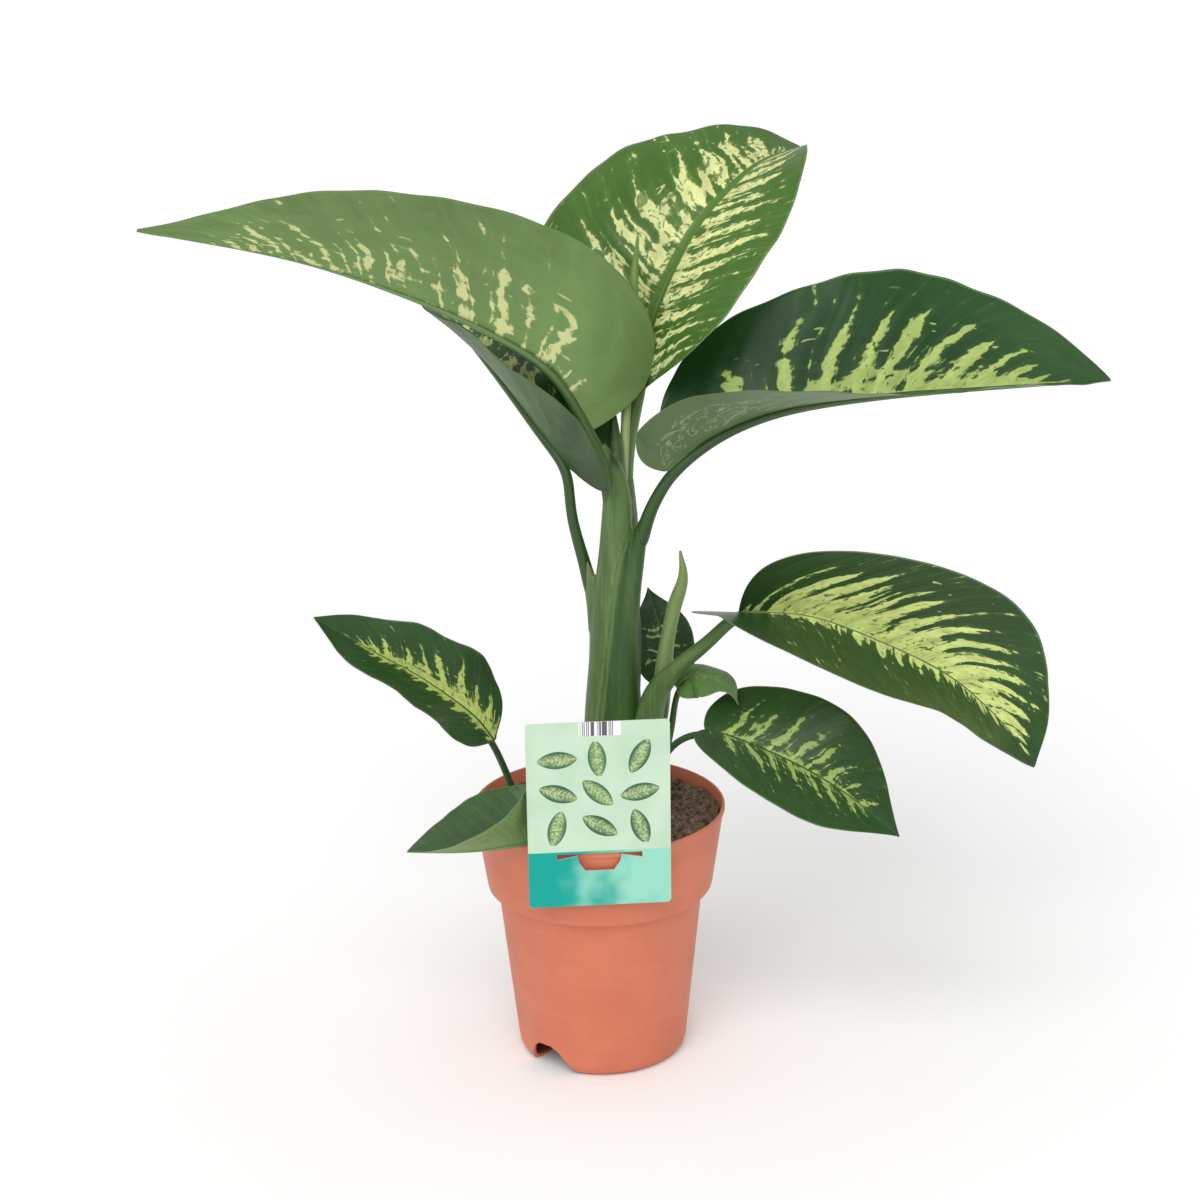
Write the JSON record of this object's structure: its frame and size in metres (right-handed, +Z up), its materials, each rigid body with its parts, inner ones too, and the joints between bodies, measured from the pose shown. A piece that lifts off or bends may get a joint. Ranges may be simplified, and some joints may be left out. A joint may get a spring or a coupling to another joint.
{
  "type": "potted dieffenbachia",
  "caption": "Potted house plant with large pointed variegated leaves on a thick cane and a side shoot, in a tapered plastic pot with a plant card on its rim.",
  "frame": {"origin": "middle of the pot's underside, on the surface that the pot stands on", "axes": "+Z up along the pot's axis, -Y towards the front, where the card stands, +X towards the right as seen from the front"},
  "size_m": [0.4501, 0.2398, 0.4344],
  "materials": {
    "pot": "satin",
    "soil": "matte",
    "label": "satin",
    "cane": "satin",
    "leaf": "satin",
    "young_leaf": "satin"
  },
  "bodies": {
    "root": {"pot": "pot", "soil": "soil", "label_card": "label", "cane": "cane", "side_shoot": "cane", "leaf_roll_main": "young_leaf", "leaf_roll_shoot": "young_leaf", "leaf_curled": "young_leaf", "leaf_left_long": "leaf", "leaf_top": "leaf", "leaf_right_long": "leaf", "leaf_left_behind": "leaf", "leaf_shoot_right": "leaf", "leaf_right_low": "leaf", "leaf_left_small": "leaf", "leaf_left_rim": "leaf", "leaf_behind_cane": "leaf"}
  },
  "joints": []
}
